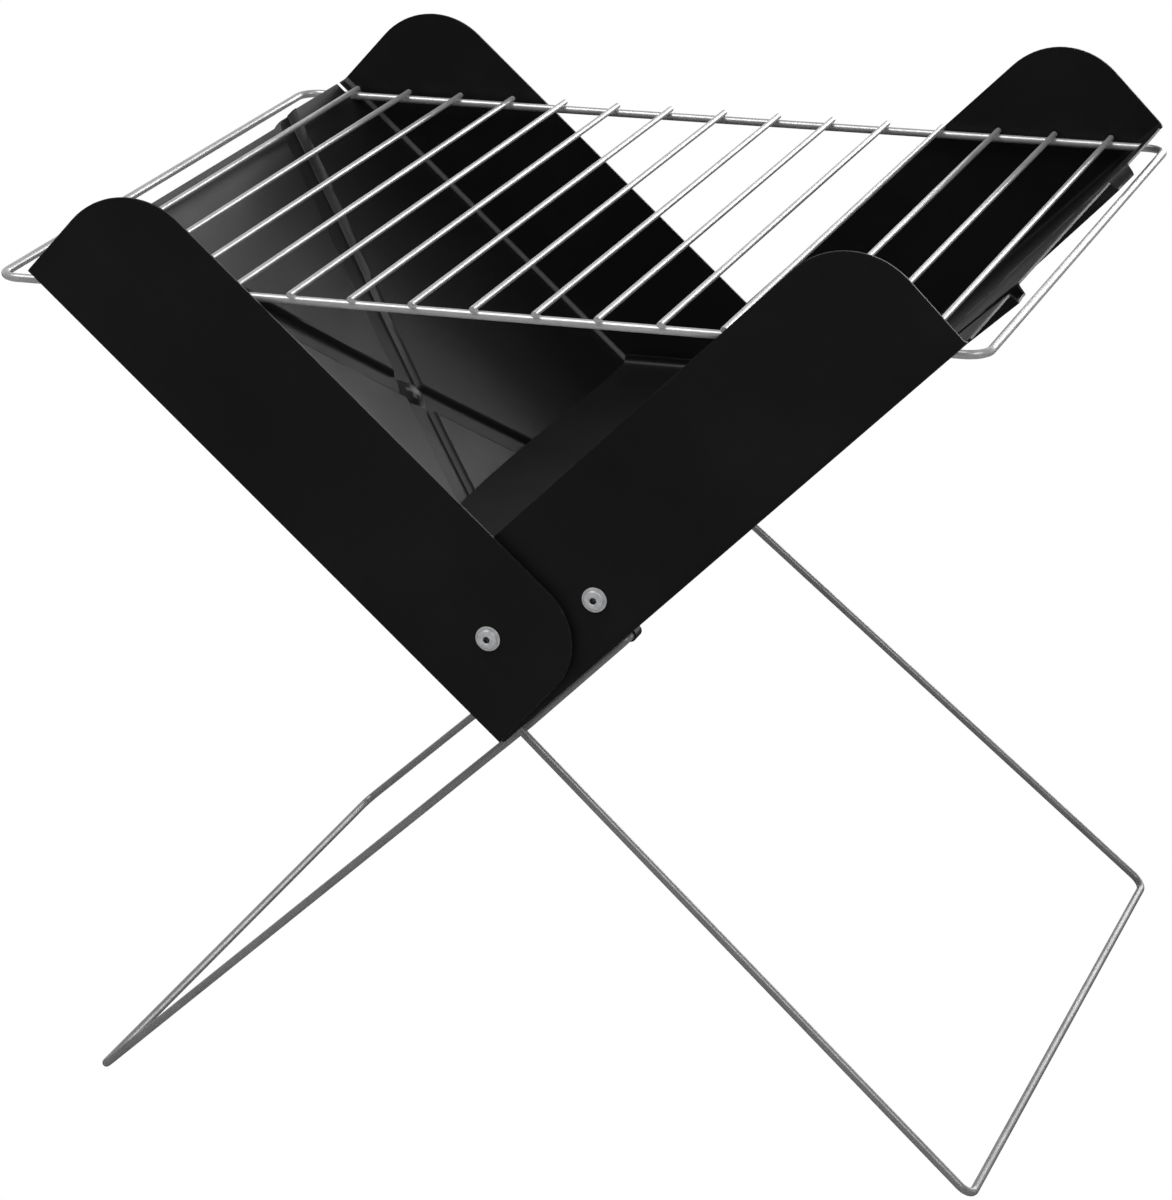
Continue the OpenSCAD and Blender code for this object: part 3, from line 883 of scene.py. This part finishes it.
def edge_mask(tree, radius):
    """1 near convex and concave edges, 0 on flats."""
    rounded = node(tree, "Bevel", {"Radius": radius}, samples=4).outputs[0]
    normal = node(tree, "NewGeometry").outputs["Normal"]
    dot = node(tree, "VectorMath", {0: rounded, 1: normal}, operation="DOT_PRODUCT")
    apart = calc(tree, "SUBTRACT", 1.0, dot.outputs["Value"])
    return calc(tree, "MULTIPLY", apart, 6.0, clamp=True)


# ------------------------------------------------------------------ materials
def powder_coat(name, tone=1.0, rough=0.46):
    """Black coat with fine grain, faint flecks and edges rubbed to grey."""
    material, tree, coords = new_material(name)
    grain = noise_texture(tree, coords, scale=1500.0, detail=3.0, roughness=0.6)
    peel = noise_texture(tree, coords, scale=380.0, detail=2.0)
    cloud = noise_texture(tree, coords, scale=14.0, detail=4.0, roughness=0.6)
    fleck = cell_distance(tree, coords, scale=900.0)
    base = ramp(tree, cloud, [(0.3, (0.0022 * tone, 0.00215 * tone, 0.0021 * tone)),
                              (0.7, (0.0038 * tone, 0.0037 * tone, 0.0036 * tone))])
    spark = ramp(tree, fleck, [(0.0, 0.008 * tone), (0.12, 0.0)])
    flecked = mix_color(tree, 0.5, base, spark, blend="ADD")
    wear = noise_texture(tree, coords, scale=240.0, detail=5.0, roughness=0.7)
    worn = calc(tree, "MULTIPLY", edge_mask(tree, radius=0.0007),
                ramp(tree, wear, [(0.42, 0.1), (0.66, 1.0)]), clamp=True)
    color = mix_color(tree, calc(tree, "MULTIPLY", worn, 0.55), flecked, (0.06, 0.059, 0.057))
    cloudy = ramp(tree, cloud, [(0.25, rough - 0.05), (0.75, rough + 0.07)])
    grainy = calc(tree, "MULTIPLY", calc(tree, "SUBTRACT", grain, 0.5), 0.16)
    roughness = calc(tree, "ADD", cloudy, grainy)
    height = calc(tree, "ADD", calc(tree, "MULTIPLY", grain, 0.5),
                  calc(tree, "MULTIPLY", peel, 0.8))
    surface(tree, node(tree, "BsdfPrincipled", {
        "Base Color": color, "Roughness": roughness, "Specular IOR Level": 0.42,
        "Normal": bump(tree, height, strength=0.22, distance=0.00025)}))
    return material


def plated_wire(name, tone=1.0):
    """Bright plating with patches, streaks and dark pits."""
    material, tree, coords = new_material(name)
    streak = noise_texture(tree, coords, scale=700.0, detail=4.0, roughness=0.65)
    patch = noise_texture(tree, coords, scale=45.0, detail=4.0, roughness=0.6)
    pit = cell_distance(tree, coords, scale=1100.0)
    base = ramp(tree, patch, [(0.3, 0.50 * tone), (0.5, 0.58 * tone), (0.75, 0.65 * tone)])
    dark = ramp(tree, pit, [(0.0, 1.0), (0.1, 0.0)])
    color = mix_color(tree, calc(tree, "MULTIPLY", dark, 0.35), base, (0.25, 0.24, 0.23))
    surface(tree, node(tree, "BsdfPrincipled", {
        "Base Color": color, "Metallic": 0.72,
        "Roughness": ramp(tree, streak, [(0.3, 0.30), (0.7, 0.44)]),
        "Normal": bump(tree, streak, strength=0.1, distance=0.0001)}))
    return material


def zinc_plate():
    """Cloudy zinc, brighter on its edges, with painted shade darkening the sockets and corners.
    """
    material, tree, coords = new_material("zinc_plate")
    cloud = noise_texture(tree, coords, scale=420.0, detail=4.0, roughness=0.65)
    fine = noise_texture(tree, coords, scale=2600.0, detail=2.0)
    base = ramp(tree, cloud, [(0.3, (0.36, 0.365, 0.38)), (0.55, (0.47, 0.474, 0.484)),
                              (0.8, (0.54, 0.534, 0.51))])
    worn = calc(tree, "MULTIPLY", edge_mask(tree, radius=0.0003), 0.3)
    color = mix_color(tree, worn, base, 0.6)
    # painted shade: the colour is darkened wherever ambient occlusion finds a socket or corner
    shade = node(tree, "AmbientOcclusion", {"Distance": 0.003}, samples=6).outputs["AO"]
    socket_shade = ramp(tree, shade, [(0.5, (0.05, 0.048, 0.046)), (0.85, 1.0)])
    surface(tree, node(tree, "BsdfPrincipled", {
        "Base Color": mix_color(tree, 1.0, color, socket_shade, blend="MULTIPLY"), "Metallic": 0.45,
        "Roughness": ramp(tree, cloud, [(0.3, 0.30), (0.7, 0.42)]),
        "Normal": bump(tree, fine, strength=0.15, distance=0.00008)}))
    return material


def dress(ob, material):
    ob.data.materials.clear()
    ob.data.materials.append(material)


BLACK = powder_coat("black_powder_coat")
CHROME = plated_wire("bright_plated_wire")
ZINC = zinc_plate()
PLATE = powder_coat("charcoal_plate_coat", tone=1.3, rough=0.48)
# painted highlight: a grey copy of the black coat lights up the outer tray's bends and the tip of
# its dome
HIGHLIGHT_COAT = powder_coat("painted_highlight_coat", tone=18.0, rough=0.4)
for ob, bend in ((outer, HIGHLIGHT_COAT), (inner, BLACK)):
    for i, material in enumerate((BLACK, BLACK, bend)):
        ob.data.materials[i] = material
dress(plate, PLATE)
# painted shade: the legs take a darker copy of the grate's plating
SHADED_LEG_WIRE = plated_wire("dull_plated_wire", tone=0.55)
for obs, material in (((wide, narrow), SHADED_LEG_WIRE), (grate, CHROME), (hardware, ZINC)):
    for ob in obs:
        dress(ob, material)
for node_name, ob in frame["nodes"].items():
    if node_name == "coal_plate":
        dress(ob, PLATE)
    elif "clip" in node_name and "rivets" not in node_name:
        dress(ob, BLACK)
    elif node_name.endswith("_leg"):
        dress(ob, SHADED_LEG_WIRE)
    elif node_name.startswith("grate"):
        dress(ob, CHROME)
    elif node_name.endswith("_tray"):
        dress(ob, BLACK)
    else:
        dress(ob, ZINC)


# ------------------------------------------------------------------ floor and world
def pale_floor():
    """Pale table that lights the grill but shows as plain white."""
    material, tree, coords = new_material("pale_floor")
    cloud = noise_texture(tree, coords, scale=3.0, detail=3.0)
    pale = node(tree, "BsdfPrincipled", {
        "Base Color": ramp(tree, cloud, [(0.3, 0.93), (0.7, 0.95)]),
        "Roughness": 0.9, "Specular IOR Level": 0.1})
    # mirrored in the grill, the table reads as grey, so dark metal keeps its depth
    rays = node(tree, "LightPath").outputs
    grey = node(tree, "BsdfDiffuse", {"Color": 0.07})
    mirrored = node(tree, "MixShader", {0: rays["Is Glossy Ray"], 1: pale.outputs[0],
                                        2: grey.outputs[0]})
    # the camera sees a white that holds no shadow
    white = node(tree, "Emission", {"Color": 1.0, "Strength": 1.0})
    seen = node(tree, "MixShader", {0: rays["Is Camera Ray"], 1: mirrored.outputs[0],
                                    2: white.outputs[0]})
    # seen from under the table it is clear
    backfacing = node(tree, "NewGeometry").outputs["Backfacing"]
    clear = node(tree, "BsdfTransparent")
    below = calc(tree, "MULTIPLY", backfacing, rays["Is Camera Ray"])
    surface(tree, node(tree, "MixShader", {0: below, 1: seen.outputs[0], 2: clear.outputs[0]}))
    return material


def studio_world():
    """White light on everything; mirrored in metal, a studio with a bright wall behind."""
    world = bpy.data.worlds.new("studio")
    bpy.context.scene.world = world
    tree = empty_tree(world)
    coords = node(tree, "TexCoord").outputs["Generated"]
    axes = node(tree, "SeparateXYZ", {0: coords}).outputs

    def from_zero(axis):
        return calc(tree, "MULTIPLY", calc(tree, "ADD", axes[axis], 1.0), 0.5)

    # dim room in front to bright wall behind
    behind = ramp(tree, from_zero("Y"), [(0.35, 0.07), (0.62, 0.30), (0.85, 0.95)])
    # dusk below the table's edge, a bright band above it, then a dim ceiling
    height = ramp(tree, from_zero("Z"),
                  [(0.46, 0.25), (0.52, 1.0), (0.58, 0.9), (0.67, 0.32), (0.9, 0.36)])
    room = mix_color(tree, 1.0, behind, height, blend="MULTIPLY")
    glossy = node(tree, "LightPath").outputs["Is Glossy Ray"]
    sky = mix_color(tree, glossy, 1.0, room)
    background = node(tree, "Background", {"Color": sky, "Strength": 1.0})
    node(tree, "OutputWorld", {"Surface": background.outputs[0]})


floor_bm = bmesh.new()
bmesh.ops.create_grid(floor_bm, x_segments=8, y_segments=8, size=6.0)
floor = link_mesh("floor", floor_bm)
floor.location = (0, 0, -0.0002)
dress(floor, pale_floor())
studio_world()


# ------------------------------------------------------------------ lights and camera
def softbox(name, location, target, size, power):
    """Rectangular light; places and sizes in metres, power in watts."""
    light = bpy.data.lights.new(name, "AREA")
    light.shape = "RECTANGLE"
    light.size, light.size_y = size
    light.energy = power
    ob = bpy.data.objects.new(name, light)
    bpy.context.scene.collection.objects.link(ob)
    ob.location = location
    ob.rotation_mode = "QUATERNION"
    ob.rotation_quaternion = (Vector(target) - Vector(location)).to_track_quat("-Z", "Y")


softbox("key", location=(-0.9, -0.85, 2.7), target=(0, 0, 0.2), size=(1.5, 1.5), power=30)
softbox("back", location=(0.5, 2.4, 0.9), target=(0, 0, 0.25), size=(1.6, 0.6), power=15)
softbox("fill", location=(1.75, -1.25, 2.0), target=(0, 0, 0.2), size=(1.1, 1.1), power=12)


def add_camera(azimuth, elevation, roll):
    """Long-lens camera at the front, towards +X; angles in degrees."""
    azimuth, elevation, roll = (math.radians(v) for v in (azimuth, elevation, roll))
    back = Vector((math.sin(azimuth) * math.cos(elevation),
                   -math.cos(azimuth) * math.cos(elevation), math.sin(elevation)))
    level = Vector((math.cos(azimuth), math.sin(azimuth), 0))
    upright = back.cross(level)
    right = level * math.cos(roll) + upright * math.sin(roll)
    up = upright * math.cos(roll) - level * math.sin(roll)
    # X and Z are measured from the fold, Y from the origin
    eye = (FOLD + Vector((663.1, 0.0, 705.2))) * MM
    eye.y = -1987.2 * MM
    data = bpy.data.cameras.new("camera")
    data.sensor_width = 36.0
    data.lens = 135.1485
    data.clip_start, data.clip_end = 0.05, 40
    camera = bpy.data.objects.new("camera", data)
    bpy.context.scene.collection.objects.link(camera)
    rows = [(right[i], up[i], back[i], eye[i]) for i in range(3)]
    camera.matrix_world = Matrix((*rows, (0, 0, 0, 1)))
    bpy.context.scene.camera = camera


add_camera(azimuth=18.99, elevation=19.81, roll=-0.88)
bpy.context.scene.view_settings.view_transform = "Standard"

bpy.context.view_layer.update()
